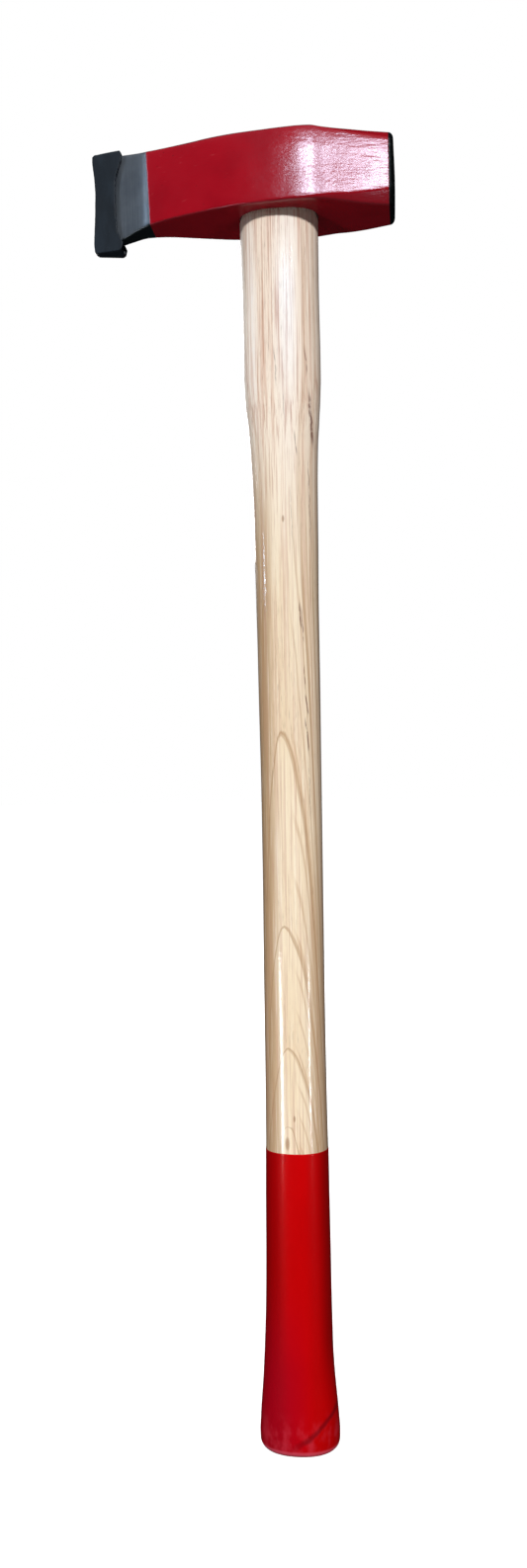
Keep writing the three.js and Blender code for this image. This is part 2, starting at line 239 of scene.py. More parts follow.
def combine(obj, operation, *tools):
    """Cuts, joins or trims obj by each tool, and removes the tools."""
    for tool in tools:
        modifier = obj.modifiers.new("combine", "BOOLEAN")
        modifier.operation = operation
        modifier.solver = "EXACT"
        modifier.object = tool
        bpy.context.view_layer.update()
        apply_modifiers(obj)
        bpy.data.objects.remove(tool)


def shade_smooth(obj, sharp_above_degrees):
    """Smooth faces, with the edges sharper than an angle left crisp."""
    bm = bmesh.new()
    bm.from_mesh(obj.data)
    limit = math.radians(sharp_above_degrees)
    for face in bm.faces:
        face.smooth = True
    for edge in bm.edges:
        edge.smooth = len(edge.link_faces) == 2 and edge.calc_face_angle(0) < limit
    bm.to_mesh(obj.data)
    bm.free()


def roughen(obj, height, scale, seed, stretch=(1, 1, 1)):
    """Moves each point along its normal by smooth noise: height in mm, scale in waves per mm."""
    mesh = obj.data
    normals = [vertex.normal.copy() for vertex in mesh.vertices]
    for vertex, normal in zip(mesh.vertices, normals):
        place = Vector([c / MM * scale * s for c, s in zip(vertex.co, stretch)])
        vertex.co += normal * (noise.noise(place + Vector((seed, 2 * seed, 3 * seed))) * height * MM)


# ---- Material helpers ---------------------------------------------------------------------------
class Number:
    """A number that varies over a surface, written in sums as a plain number is."""

    def __init__(self, tree, socket):
        self.tree = tree
        self.socket = socket

    def math(self, operation, *inputs):
        node = self.tree.nodes.new("ShaderNodeMath")
        node.operation = operation
        for slot, item in zip(node.inputs, inputs):
            feed(self.tree, item, slot)
        return Number(self.tree, node.outputs[0])

    def __add__(self, other):
        return self.math("ADD", self, other)

    def __sub__(self, other):
        return self.math("SUBTRACT", self, other)

    def __rsub__(self, other):
        return self.math("SUBTRACT", other, self)

    def __mul__(self, other):
        return self.math("MULTIPLY", self, other)

    def __truediv__(self, other):
        return self.math("DIVIDE", self, other)

    def __pow__(self, other):
        return self.math("POWER", self, other)

    __radd__ = __add__

    def size(self):
        return self.math("ABSOLUTE", self)

    def exponent(self):
        return self.math("EXPONENT", self)

    def part(self):
        return self.math("FRACT", self)

    def whole(self):
        return self.math("FLOOR", self)

    def larger(self, other):
        return self.math("MAXIMUM", self, other)

    def smaller(self, other):
        return self.math("MINIMUM", self, other)

    def step(self, low, high):
        """Rises smoothly from 0 at low to 1 at high; low may be the larger one."""
        node = self.tree.nodes.new("ShaderNodeMapRange")
        node.interpolation_type = "SMOOTHSTEP"
        flipped = low > high
        feed(self.tree, self, node.inputs["Value"])
        node.inputs["From Min"].default_value = min(low, high)
        node.inputs["From Max"].default_value = max(low, high)
        node.inputs["To Min"].default_value = 1.0 if flipped else 0.0
        node.inputs["To Max"].default_value = 0.0 if flipped else 1.0
        return Number(self.tree, node.outputs["Result"])


def feed(tree, item, slot):
    """Links a Number or a socket to an input, or sets the input to a plain value."""
    if isinstance(item, Number):
        item = item.socket
    if isinstance(item, bpy.types.NodeSocket):
        tree.links.new(item, slot)
    elif isinstance(item, tuple) and len(item) == 3 and slot.type == "RGBA":
        slot.default_value = (*item, 1.0)
    else:
        slot.default_value = item


class Finish:
    """One material: a Principled shader, and x, y and z in millimetres in the row frame."""

    def __init__(self, name):
        self.material = bpy.data.materials.new(name)
        self.material.use_nodes = True
        self.tree = self.material.node_tree
        self.shader = self.tree.nodes["Principled BSDF"]
        coordinates = self.tree.nodes.new("ShaderNodeTexCoord")
        split = self.tree.nodes.new("ShaderNodeSeparateXYZ")
        self.tree.links.new(coordinates.outputs["Object"], split.inputs[0])
        self.x, self.y, self.z = (Number(self.tree, axis) / MM for axis in split.outputs)

    def facing(self, axis):
        """How far the surface faces along X, Y or Z (axis 0, 1 or 2), from -1 to 1."""
        geometry = self.tree.nodes.new("ShaderNodeNewGeometry")
        split = self.tree.nodes.new("ShaderNodeSeparateXYZ")
        self.tree.links.new(geometry.outputs["True Normal"], split.inputs[0])
        return Number(self.tree, split.outputs[axis])

    def place(self, x, y, z):
        node = self.tree.nodes.new("ShaderNodeCombineXYZ")
        for slot, item in zip(node.inputs, (x, y, z)):
            feed(self.tree, item, slot)
        return node.outputs[0]

    def noise(self, per_mm, seed, detail=2.0):
        """Noise from about 0 to 1. per_mm gives its waves per millimetre along x, y and z."""
        where = self.place(
            self.x * per_mm[0] + seed, self.y * per_mm[1] + 2.3 * seed, self.z * per_mm[2] - seed
        )
        node = self.tree.nodes.new("ShaderNodeTexNoise")
        node.inputs["Scale"].default_value = 1.0
        node.inputs["Detail"].default_value = detail
        self.tree.links.new(where, node.inputs["Vector"])
        return Number(self.tree, node.outputs[0])

    def random_of(self, number):
        """A random number from 0 to 1 for each whole value of number."""
        node = self.tree.nodes.new("ShaderNodeTexWhiteNoise")
        node.noise_dimensions = "1D"
        feed(self.tree, number, node.inputs["W"])
        return Number(self.tree, node.outputs["Value"])

    def cells(self, per_mm, seed):
        """Distance to the nearest of a scatter of points, in cell sizes."""
        where = self.place(
            self.x * per_mm[0] + seed, self.y * per_mm[1] + seed, self.z * per_mm[2] + seed
        )
        node = self.tree.nodes.new("ShaderNodeTexVoronoi")
        node.inputs["Scale"].default_value = 1.0
        self.tree.links.new(where, node.inputs["Vector"])
        return Number(self.tree, node.outputs["Distance"])

    def mix(self, share, first, second):
        """The first colour where share is 0, the second where it is 1."""
        node = self.tree.nodes.new("ShaderNodeMix")
        node.data_type = "RGBA"
        feed(self.tree, share, node.inputs["Factor"])
        # A Mix node has sockets for numbers, vectors and colours; these are its colour sockets.
        feed(self.tree, first, node.inputs[6])
        feed(self.tree, second, node.inputs[7])
        return node.outputs[2]

    def layers(self, colour, *coats):
        """Lays each (share, colour) coat over what is under it."""
        for share, coat in coats:
            colour = self.mix(share, colour, coat)
        return colour

    def bump(self, height):
        """Normal of a relief whose height is in millimetres."""
        node = self.tree.nodes.new("ShaderNodeBump")
        node.inputs["Strength"].default_value = 1.0
        node.inputs["Distance"].default_value = MM
        feed(self.tree, height, node.inputs["Height"])
        return node.outputs["Normal"]

    def set(self, **inputs):
        """Sets the shader's inputs, named with _ for each space, and returns the material."""
        for name, item in inputs.items():
            feed(self.tree, item, self.shader.inputs[name.replace("_", " ")])
        return self.material


# ---- Materials ----------------------------------------------------------------------------------
PAINT_LINE_X = -89.0  # where the enamel ends, at the head's underside
PAINT_LINE_LEAN = 0.046  # how far that line moves towards the edge for each mm up
BEND_X = 26.0  # where the head turns in towards the poll


def head_finish():
    """Red enamel on the body, ground steel ahead of the paint line, dark steel on the poll's rim."""
    head = Finish("forged_head_finish")
    ragged = (head.noise((0.6, 0.6, 0.6), seed=4.0) - 0.5) * 0.5
    paint_line = PAINT_LINE_X - (head.z - HEAD_BOTTOM) * PAINT_LINE_LEAN
    past_line = head.x - paint_line + ragged
    enamel = past_line.step(-0.15, 0.15)
    rim_start = POLL_X - POLL_RIM
    poll_steel = (head.x + ragged).step(rim_start - 0.3, rim_start + 0.3)
    painted = enamel * (1.0 - poll_steel)
    bare = 1.0 - painted

    # Enamel: crimson, cloudy where it is thin, with scuffs and chips, and a near-black line of painted
    # shade along the cheek's top edge.
    crimson, thin_crimson = (0.328, 0.0035, 0.011), (0.278, 0.0025, 0.009)
    scuffed, painted_edge_shade, chipped = (0.46, 0.06, 0.07), (0.05, 0.004, 0.006), (0.04, 0.004, 0.006)
    cloud = head.noise((0.03, 0.03, 0.03), seed=1.0, detail=3.0)
    scuffs = head.noise((0.12, 0.12, 0.5), seed=9.0, detail=4.0).step(0.66, 0.78)
    # The cheek's top edge rises towards the bit, and drops for 18 mm past the bend.
    rise_to_bit = (-60.0 - head.x).larger(0.0) * 0.046
    drop_to_poll = (head.x - BEND_X).larger(0.0).smaller(18.0) * 0.10
    top_edge = HEAD_TOP - 0.1 + rise_to_bit - drop_to_poll
    # Painted shade: a near-black line along the top edge of both cheeks.
    top_edge_shade = (top_edge - head.z).step(1.5, 0.5) * head.facing(1).size().step(0.3, 0.6)
    chips = head.cells((0.11, 0.11, 0.11), seed=3.0).step(0.045, 0.03)
    red = head.layers(
        head.mix(cloud.step(0.35, 0.7), crimson, thin_crimson),
        (scuffs * 0.25, scuffed),
        (top_edge_shade * 0.75, painted_edge_shade),
        (chips * 0.7, chipped),
    )

    # Its relief: orange peel, deepest at the bend, and the forging's ripple, deepest on the poll's facet.
    at_bend = head.x.step(-14.0, 10.0) * head.x.step(52.0, 40.0)
    at_facet = head.x.step(34.0, 48.0)
    peel = head.noise((0.34, 0.34, 0.45), seed=2.0, detail=3.0) * (at_bend * 0.065 + 0.035)
    ripple = head.noise((0.09, 0.2, 0.55), seed=5.0, detail=3.0) * (at_facet * 0.075 + 0.04)
    fine = head.noise((0.5, 1.0, 1.5), seed=6.0) * 0.014
    paint_relief = peel + ripple + fine
    paint_roughness = 0.175 + head.noise((0.2, 0.2, 0.2), seed=7.0, detail=3.0) * 0.06

    # Steel: grinding lines up and down the bit, blotched by oil, and painted shade, a near-black green,
    # on the faces turned up and down.
    dull, bright, oiled = (0.105, 0.125, 0.15), (0.225, 0.25, 0.285), (0.095, 0.115, 0.145)
    scale, dark_rim, worn_rim = (0.016, 0.026, 0.022), (0.008, 0.010, 0.010), (0.030, 0.035, 0.036)
    lines = head.noise((5.0, 2.0, 0.08), seed=11.0, detail=3.0)
    long_lines = head.noise((1.6, 1.0, 0.03), seed=12.0)
    blotches = head.noise((0.07, 0.07, 0.07), seed=13.0, detail=3.0).step(0.35, 0.75)
    # Painted shade on the faces turned up and down: near-black green, which darkens the bit's underside
    # and lies on its top face too.
    up_down_shade = head.facing(2).size().step(0.5, 0.8)
    rim_wear = head.noise((0.4, 0.4, 0.4), seed=17.0, detail=4.0).step(0.45, 0.75)
    steel = head.layers(
        head.mix(long_lines, dull, bright),
        (blotches * 0.45, oiled),
        (up_down_shade * 0.9, scale),
        (poll_steel, head.mix(rim_wear, dark_rim, worn_rim)),
    )
    steel_relief = lines * 0.014 + long_lines * 0.012
    steel_roughness = 0.30 + lines * 0.16 + poll_steel * 0.12

    edge_of_paint = past_line.step(-0.2, 0.5) * 0.06
    relief = painted * paint_relief + bare * steel_relief + edge_of_paint
    return head.set(
        Base_Color=head.mix(painted, steel, red),
        Metallic=bare * 0.92,
        Roughness=painted * paint_roughness + bare * steel_roughness,
        Specular_IOR_Level=0.36,
        Specular_Tint=(0.71, 0.78, 1.0),
        Coat_Weight=painted * 0.06,
        Coat_Roughness=0.16,
        Normal=head.bump(relief),
    )


# Dark mineral lines in the wood: (x, height at x, half length, lean per mm, half width, strength).
MINERAL_LINES = [
    (20.4, 706, 22, -0.05, 0.85, 0.85), (17.8, 745, 12, -0.04, 0.40, 0.6),
    (10.0, 689, 10, -0.06, 0.35, 0.6), (-2.7, 741, 16, -0.05, 0.32, 0.55),
    (2.6, 715, 11, -0.04, 0.28, 0.45), (11.0, 572, 12, -0.06, 0.45, 0.75),
    (12.4, 566, 16, -0.05, 0.32, 0.7), (13.4, 530, 10, -0.03, 0.32, 0.65),
    (14.6, 511, 10, -0.09, 0.38, 0.85), (14.4, 490, 15, -0.07, 0.40, 0.85),
    (15.6, 452, 24, -0.02, 0.30, 0.45), (18.5, 650, 34, -0.02, 0.36, 0.5),
    (-13.5, 600, 34, 0.01, 0.35, 0.3), (6.5, 640, 24, -0.03, 0.26, 0.35),
]
# Small knots: (x, height, radius, pull on the rings).
KNOTS = [(0.7, 638, 1.3, 0.1), (1.5, 230, 1.2, 0.25), (-3.6, 213, 2.4, 0.5)]
KNOT_SQUEEZE = 0.35  # a knot's swirl is longer along the grain: heights count for this much
PITH_X, PITH_Y = 5.6, 70.0  # the tree's centre, behind the handle
RING_WIDTH = 3.9
RING_START = -1.5  # places the rings, and with them the points of the arches
ARCH_X = -4.0  # the arches' middle line on the near face


def wood_figure(wood):
    """Growth rings as a running number, swirled round the knots, and a mask of the knots themselves."""
    lively = wood.z.step(640, 520) * 0.75 + 0.25
    sway_x = (wood.noise((0.02, 0.02, 0.006), seed=21.0) - 0.5) * lively * 6.0
    sway_y = (wood.noise((0.02, 0.02, 0.005), seed=22.0) - 0.5) * lively * 3.0
    across = wood.x - PITH_X + sway_x
    behind = wood.y - PITH_Y + sway_y
    radius = (across * across + behind * behind) ** 0.5
    run_out = wood.z * -0.071 + wood.z * wood.z * 0.0000474
    ring = (radius + run_out + RING_START) / RING_WIDTH
    near_face = wood.y.step(0.0, -4.0)
    knots = None
    for x, height, size, pull in KNOTS:
        aside = wood.x - x
        along = (wood.z - height) * KNOT_SQUEEZE
        away = (aside * aside + along**2.0) / (size * size)
        ring = ring + (away * -0.25).exponent() * near_face * pull
        core = away.step(0.7, 0.05) * near_face
        knots = core if knots is None else knots.larger(core)
    wobble = (wood.noise((0.16, 0.16, 0.02), seed=23.0, detail=3.0) - 0.5) * 0.05
    return ring + wobble, knots


def mineral_stain(wood):
    """Mask of the dark mineral lines, which wander and break up, on the near face only."""
    wander = (wood.noise((0.0, 0.0, 0.09), seed=41.0) - 0.5) * 1.6
    broken = wood.noise((0.5, 0.5, 0.22), seed=42.0, detail=3.0).step(0.30, 0.55)
    stain = None
    for x, height, half_length, lean, half_width, strength in MINERAL_LINES:
        along = wood.z - height
        aside = (wood.x - x - along * lean + wander).size()
        fade = along.size().step(half_length, half_length * 0.4)
        line = aside.step(half_width * 1.5, half_width * 0.4) * fade * strength
        stain = line if stain is None else stain.larger(line)
    return stain * (broken * 0.75 + 0.25) * wood.y.step(2.0, -2.0)


def hickory_finish():
    """Pale lacquered hickory: cathedral rings, pores, fibres, mineral lines and end grain."""
    wood = Finish("lacquered_hickory")
    ring, knots = wood_figure(wood)
    phase = ring.part()
    tone = wood.random_of(ring.whole())
    patch = wood.noise((0.05, 0.05, 0.006), seed=33.0)
    off_arch = wood.x - ARCH_X

    # Each ring darkens towards its boundary, which is a thin brown line of even width.
    late = phase.step(0.35, 1.0) * (tone * 0.6 + 0.25)
    rings_per_mm = (off_arch * off_arch * 0.00003 + 0.00013) ** 0.5
    boundary = (phase.smaller(1.0 - phase) / rings_per_mm).step(1.2, 0.4) * (tone * 0.4 + 0.6)
    boundary = boundary * (wood.z.step(640, 560) * 0.6 + 0.4)
    # Between them, fainter and closer lines show where the rings are cut at a slant.
    minor_phase = (ring * 3.0 + patch * 0.6).part()
    minor = (minor_phase.smaller(1.0 - minor_phase) / rings_per_mm).step(2.2, 0.7)
    minor = minor * off_arch.size().step(6.0, 12.0) * wood.z.step(700, 600)
    # Over both lie the wood's fibres, from coarse to fine, and its pores.
    fibre = wood.noise((1.2, 1.2, 0.016), seed=31.0, detail=3.0)
    strand = wood.noise((0.55, 0.55, 0.006), seed=35.0, detail=3.0)
    hair = wood.noise((5.5, 5.5, 0.07), seed=32.0)
    pores = wood.noise((4.0, 4.0, 0.10), seed=34.0, detail=1.0).step(0.60, 0.72)
    stain = mineral_stain(wood)

    # The swell is painted paler than the shaft, as the white sheen on it, and the shaft is painted darker
    # brown down its left and right sides, as shade.
    swell = wood.z.step(560, 760)
    pink_side = (wood.x + patch * 10.0).step(12.0, 26.0)
    left_side_shade = wood.x.step(-4.0, -14.0) * wood.z.step(740, 580)
    right_side_shade = wood.x.step(9.0, 18.0) * wood.z.step(460, 300)
    cream, straw = (0.875, 0.74, 0.55), (0.83, 0.67, 0.46)
    along_grain = wood.layers(
        wood.mix(patch.step(0.3, 0.7), cream, straw),
        # Painted sheen: the swell paler and whiter than the shaft.
        (swell * 0.75, (0.92, 0.81, 0.72)),
        (pink_side * 0.25, (0.76, 0.56, 0.42)),
        # Painted shade down the shaft's left and right sides.
        (left_side_shade, (0.49, 0.315, 0.17)),
        (right_side_shade * 0.75, (0.49, 0.32, 0.18)),
        (late * 0.32, (0.64, 0.43, 0.25)),
        (strand.step(0.50, 0.64) * (swell * 0.2 + 0.36), (0.62, 0.37, 0.26)),
        (fibre.step(0.54, 0.65) * (swell * 0.3 + 0.40), (0.52, 0.28, 0.19)),
        (fibre.step(0.48, 0.3) * 0.4, (0.95, 0.87, 0.74)),
        (minor * 0.4, (0.50, 0.29, 0.14)),
        (boundary * 0.62, (0.40, 0.215, 0.095)),
        (hair.step(0.55, 0.75) * 0.25, (0.46, 0.30, 0.18)),
        (pores * (late * 0.6 + 0.15), (0.28, 0.155, 0.085)),
        (stain, (0.13, 0.035, 0.025)),
        (knots * 0.7, (0.33, 0.17, 0.08)),
    )

    # Sawn end grain: open pores across the rings.
    sawn = wood.z.step(HANDLE_TOP - 0.6, HANDLE_TOP - 0.2)
    open_pores = wood.cells((1.1, 1.1, 0.2), seed=51.0).step(0.34, 0.2)
    end_grain = wood.layers(
        wood.mix(late, (0.50, 0.35, 0.22), (0.24, 0.135, 0.075)),
        (open_pores * (late * 0.7 + 0.2), (0.07, 0.035, 0.02)),
    )

    # Lacquer: wavy, thinner on the swell, and none on the end grain.
    relief = fibre * 0.012 + hair * 0.006 - pores * 0.012 - stain * 0.02
    lacquer = wood.noise((0.22, 0.22, 0.03), seed=61.0, detail=3.0) * 0.09
    lacquer = lacquer + wood.noise((0.9, 0.9, 0.5), seed=62.0) * 0.045
    gloss = wood.z.step(838, 795)
    return wood.set(
        Base_Color=wood.mix(sawn, along_grain, end_grain),
        Roughness=0.42 - gloss * 0.16 + fibre * 0.10,
        Specular_IOR_Level=0.3,
        Specular_Tint=(0.22, 0.60, 1.0),
        Coat_Weight=(1.0 - sawn) * (gloss * 0.08 + wood.z.step(740, 600) * 0.75),
        Coat_Roughness=0.08,
        Normal=wood.bump(relief + lacquer * 0.8),
        Coat_Normal=wood.bump(lacquer),
    )


def dip_finish():
    """Glossy red dip coat: painted shade down its sides and in its crease low down, a painted highlight
    round the foot's bottom edge, faintly ridged by the grain.
    """
    dip = Finish("red_dip_paint")
    cloud = dip.noise((0.04, 0.04, 0.015), seed=71.0, detail=3.0)
    mottle = dip.noise((0.16, 0.16, 0.10), seed=72.0, detail=4.0).step(0.42, 0.72)
    side = dip.x.size()
    low = dip.z.step(130.0, 30.0)
    # The crease is where the paint ran: a curve that climbs across the foot's right half, dented in the
    # relief and painted dark as the shade in its fold.
    off_crease = dip.z - dip.x * 0.5 - dip.x * dip.x * 0.012 - 10.5 + mottle + cloud * 2.0
    crease = off_crease.size().step(3.6, 0.4) * dip.x.step(-7.0, 8.0) * dip.y.step(2.0, -4.0)
    # Painted highlight: a pale pink line on the rounding at the foot's bottom edge.
    rim = dip.z.step(6.0, 4.2) * dip.z.step(1.2, 2.6)
    red = dip.layers(
        dip.mix(cloud.step(0.3, 0.7), (0.50, 0.0001, 0.0010), (0.45, 0.0001, 0.0008)),
        # Painted shade: darker towards both sides, and darker still on the left, away from the light.
        (side.step(6.0, 14.0) * 0.35, (0.33, 0.0001, 0.0008)),
        (side.step(14.0, 22.0) * dip.z.step(30.0, 90.0) * 0.5, (0.17, 0.001, 0.001)),
        (dip.x.step(-3.0, -14.0) * 0.6, (0.23, 0.0001, 0.001)),
        (low * dip.x.step(16.0, -8.0) * 0.6, (0.30, 0.0005, 0.010)),
        (mottle * dip.z.step(34.0, 10.0) * 0.4, (0.52, 0.035, 0.06)),
        # Painted shade in the crease's fold.
        (crease * 0.65, (0.12, 0.001, 0.004)),
        # Painted highlight along the foot's bottom edge.
        (rim * 0.45, (0.80, 0.10, 0.16)),
    )
    specks = dip.cells((0.22, 0.22, 0.22), seed=73.0).step(0.06, 0.03)
    grain = dip.noise((1.1, 1.1, 0.02), seed=74.0)
    peel = dip.noise((0.45, 0.45, 0.3), seed=75.0)
    relief = grain * 0.014 + peel * 0.020 + specks * 0.04 - crease * 0.15
    return dip.set(
        Base_Color=red,
        Roughness=0.34 + peel * 0.08,
        Specular_IOR_Level=0.06,
        Coat_Weight=0.32,
        Coat_Roughness=0.1,
        Normal=dip.bump(relief),
    )


def rubber_finish():
    """Blue-black moulded rubber with a fine tooth, handling smears and pale scratches."""
    rubber = Finish("black_guard_rubber")
    smear = rubber.noise((0.12, 0.12, 0.05), seed=81.0, detail=4.0)
    tooth = rubber.noise((3.2, 3.2, 3.2), seed=82.0)
    scratch = rubber.noise((0.25, 0.25, 2.6), seed=83.0).step(0.66, 0.74)
    colour = rubber.layers(
        rubber.mix(smear.step(0.35, 0.75), (0.003, 0.007, 0.0125), (0.007, 0.0135, 0.022)),
        (scratch * 0.25, (0.04, 0.05, 0.065)),
    )
    return rubber.set(
        Base_Color=colour,
        Roughness=0.46 + smear * 0.16,
        Specular_IOR_Level=0.22,
        Normal=rubber.bump(tooth * 0.018 + smear * 0.03 - scratch * 0.01),
    )


def wedge_wood_finish():
    """Raw sawn wood: rings along the wedge, open pores and saw marks."""
    wood = Finish("sawn_wedge_wood")
    rings = (wood.y * 1.4 + wood.noise((0.1, 0.1, 0.1), seed=91.0) * 2.0).part()
    pores = wood.cells((1.6, 1.6, 1.0), seed=92.0).step(0.3, 0.15)
    colour = wood.layers(
        wood.mix(rings, (0.42, 0.27, 0.15), (0.29, 0.17, 0.09)),
        (pores * 0.6, (0.08, 0.04, 0.02)),
    )
    saw = wood.noise((0.2, 4.0, 0.4), seed=93.0)
    return wood.set(
        Base_Color=colour, Roughness=0.7 + saw * 0.15, Normal=wood.bump(saw * 0.06 - pores * 0.05)
    )


def wedge_steel_finish():
    """Raw rolled steel with patches of scale and small dents."""
    metal = Finish("rolled_wedge_steel")
    scale = metal.noise((0.5, 0.5, 0.5), seed=101.0, detail=4.0)
    dents = metal.noise((0.9, 0.9, 0.9), seed=102.0)
    return metal.set(
        Base_Color=metal.mix(scale.step(0.4, 0.7), (0.33, 0.335, 0.34), (0.16, 0.14, 0.125)),
        Metallic=0.95,
        Roughness=0.36 + scale * 0.25,
        Normal=metal.bump(dents * 0.08),
    )


# ---- Head ---------------------------------------------------------------------------------------
read_thickness = curve_through(THICKNESS)
read_lower = curve_through(LOWER_EDGE)
read_upper = curve_through(UPPER_EDGE)
read_chamfer = curve_through(CHAMFER)
read_eye = curve_through(EYE)
SIDE_STEPS = [14, 3, 18, 3, 14, 3, 18, 3]  # mesh steps along each side of the head's section
ARC_STEPS = 3  # and round each of its corners
EDGE_PLACES = (-125, -124.6, -123.8)  # sections close to the cutting edge
BODY_START, BODY_STEP = -122.5, 1.5  # sections along the rest of the head
RIM_STEPS = 7
FACE_SHARES = (0.97, 0.85, 0.7, 0.5, 0.3, 0.12)  # rings across the striking face
BOW_START = -70  # the edge's bow grows from here to the edge
WIDEST_CHAMFER = 0.7  # of half the section's thickness
CHAMFER_LOSS = 0.42  # what a chamfer loses for each mm that its section is set in


def head_ring(x, inset=0.0, place=None):
    """Section across the head at x: a box with chamfered, rounded corners, set in by inset."""
    half = read_thickness(x) / 2 - inset
    low = read_lower(x) + inset
    high = read_upper(x) - inset
    cut = min(read_chamfer(x) - inset * CHAMFER_LOSS, half * WIDEST_CHAMFER)
    corners = [
        (cut - half, low), (half - cut, low), (half, low + cut), (half, high - cut),
        (half - cut, high), (cut - half, high), (-half, high - cut), (-half, low + cut),
    ]
    outline = rounded_outline(corners, CORNER_RADIUS, SIDE_STEPS, ARC_STEPS)
    middle = (low + high) / 2
    near_edge = np.clip((BOW_START - x) / (BOW_START - EDGE_X), 0, 1)
    share = (outline[:, 1] - middle) / (high - middle)
    outline[:, 0] *= 1 - CHEEK_CROWN * np.clip(share, 0, 1) ** 3
    bow = EDGE_BOW * near_edge**2 * (1 - share**2)
    along = np.full(len(outline), x if place is None else place) - bow
    return np.column_stack([along, outline])


def eye_rings(low, high, count, gap):
    """Rings that follow the eye between two heights, gap mm inside it."""
    rings = []
    for height in np.linspace(low, high, count):
        length, width = read_eye(height)
        rings.append(oval(height, length - 2 * gap, width - 2 * gap, 0, EYE_OVAL))
    return rings


def make_head():
    rim_start = POLL_X - POLL_RIM
    places = [*EDGE_PLACES, *np.arange(BODY_START, rim_start - 1, BODY_STEP), rim_start]
    rings = [head_ring(x) for x in places]
    for i in range(1, RIM_STEPS + 1):
        turn = math.pi / 2 * i / RIM_STEPS
        inset = POLL_RIM * (1 - math.cos(turn))
        place = rim_start + (POLL_RIM - POLL_CROWN) * math.sin(turn)
        rings.append(head_ring(rim_start, inset, place))
    face = rings[-1]
    middle = face.mean(0)
    for share in FACE_SHARES:
        ring = middle + (face - middle) * share
        ring[:, 0] = POLL_X - POLL_CROWN * share**2
        rings.append(ring)
    head = skin("forged_head", rings)
    roughen(head, height=0.22, scale=0.035, seed=3.0)
    roughen(head, height=0.06, scale=0.16, seed=8.0, stretch=(0.6, 1, 1.6))
    eye_tool = skin("eye_tool", eye_rings(EYE[0][0], EYE[-1][0], 40, 0.0))
    combine(head, "DIFFERENCE", eye_tool)
    shade_smooth(head, 32)
    head.data.materials.append(head_finish())
    return head


# ---- Handle, coat and wedges --------------------------------------------------------------------
read_handle = curve_through(HANDLE)
FLOOR_SHARES = (0.15, 0.4, 0.65, 0.85, 0.97)  # rings across the flat butt
FOOT_STEPS = 12  # rings round the butt's edge
# Rings of the coat's soft bead: (depth below its upper line, how far it stands over the wood).
COAT_BEAD = ((1.6, 0.30), (0.9, 0.34), (0.4, 0.30), (0.12, 0.18), (0.0, 0.05))
COAT_BEAD_DEPTH = 3  # the bead starts this far below that line
COAT_INNER_EDGE = 0.5  # depth of the coat's inner edge below its upper line
COAT_INNER_STEP = 4.0  # spacing of its unseen inner rings
TONGUE_START = 851.0  # the tongue follows the eye from here up
TONGUE_ROUNDING = 0.8  # of the tongue's upper edge
TONGUE_TOP_SHARES = (0.985, 0.955, 0.8, 0.6, 0.4, 0.2)  # rings across the tongue's top


def foot_rings(floor, grow):
    """Rings that round the foot of the grip into a flat on height floor, grown all round."""
    _, width, depth, shift = HANDLE[0]
    radius = BUTT_RADIUS - floor
    rings = []
    for share in FLOOR_SHARES:
        flat_width = (width - 2 * radius + 2 * grow) * share
        flat_depth = (depth - 2 * radius + 2 * grow) * share
        rings.append(oval(floor, flat_width, flat_depth, shift, HANDLE_OVAL))
    for i in range(FOOT_STEPS):
        turn = math.pi / 2 * i / FOOT_STEPS
        pull = grow - radius * (1 - math.sin(turn))
        height = BUTT_RADIUS - radius * math.cos(turn)
        rings.append(oval(height, width + 2 * pull, depth + 2 * pull, shift, HANDLE_OVAL))
    return rings


def body_rings(low, high, step, grow):
    """Rings that follow the handle between two heights, grown all round."""
    rings = []
    for height in np.linspace(low, high, int((high - low) / step) + 1):
        width, depth, shift = read_handle(height)
        rings.append(oval(height, width + 2 * grow, depth + 2 * grow, shift, HANDLE_OVAL))
    return rings


def wood_wedge(name, grow):
    """Tapered wooden wedge along X in the kerf, longer and taller than it ends up."""
    root = HANDLE_TOP - KERF_DEPTH - grow
    top = HANDLE_TOP + KERF_RISE
    top_half, root_half = (half + grow for half in WOOD_WEDGE_HALF)
    outline = [(-root_half, root), (root_half, root), (top_half, top), (-top_half, top)]
    return prism(name, outline, -KERF_REACH, KERF_REACH, "X")


def steel_wedge(name, x, grow, top):
    """Tapered, barbed plate driven in across the wooden wedge at 45 degrees, reaching up by top."""
    side = []
    for i in range(STEEL_WEDGE_BARBS):
        upper, lower = i / STEEL_WEDGE_BARBS, (i + 1) / STEEL_WEDGE_BARBS
        upper_half = STEEL_WEDGE_HALF - STEEL_WEDGE_TAPER * upper + grow
        lower_half = STEEL_WEDGE_HALF - STEEL_WEDGE_TAPER * lower - BARB + grow
        side.append((upper_half, -STEEL_WEDGE_DEPTH * upper))
        side.append((lower_half, -STEEL_WEDGE_DEPTH * lower))
    other_side = [(-half, height) for half, height in reversed(side)]
    top_half = STEEL_WEDGE_HALF + grow
    top_edge = [(-top_half, top), (top_half, top)] if top > 0 else []
    reach = STEEL_WEDGE_WIDTH / 2 + grow
    plate = prism(name, other_side + top_edge + side, -reach, reach, "Y")
    turn = Matrix.Rotation(math.pi / 4, 4, "Z")
    move = Matrix.Translation(Vector((x, 0, HANDLE_TOP - STEEL_WEDGE_SINK)) * MM)
    plate.data.transform(move @ turn)
    return plate


def steel_wedge_tools():
    """What the steel wedges cut out of the wood round them."""
    return [steel_wedge("slot_tool", x, WEDGE_CLEARANCE, SLOT_RISE) for x in STEEL_WEDGE_X]


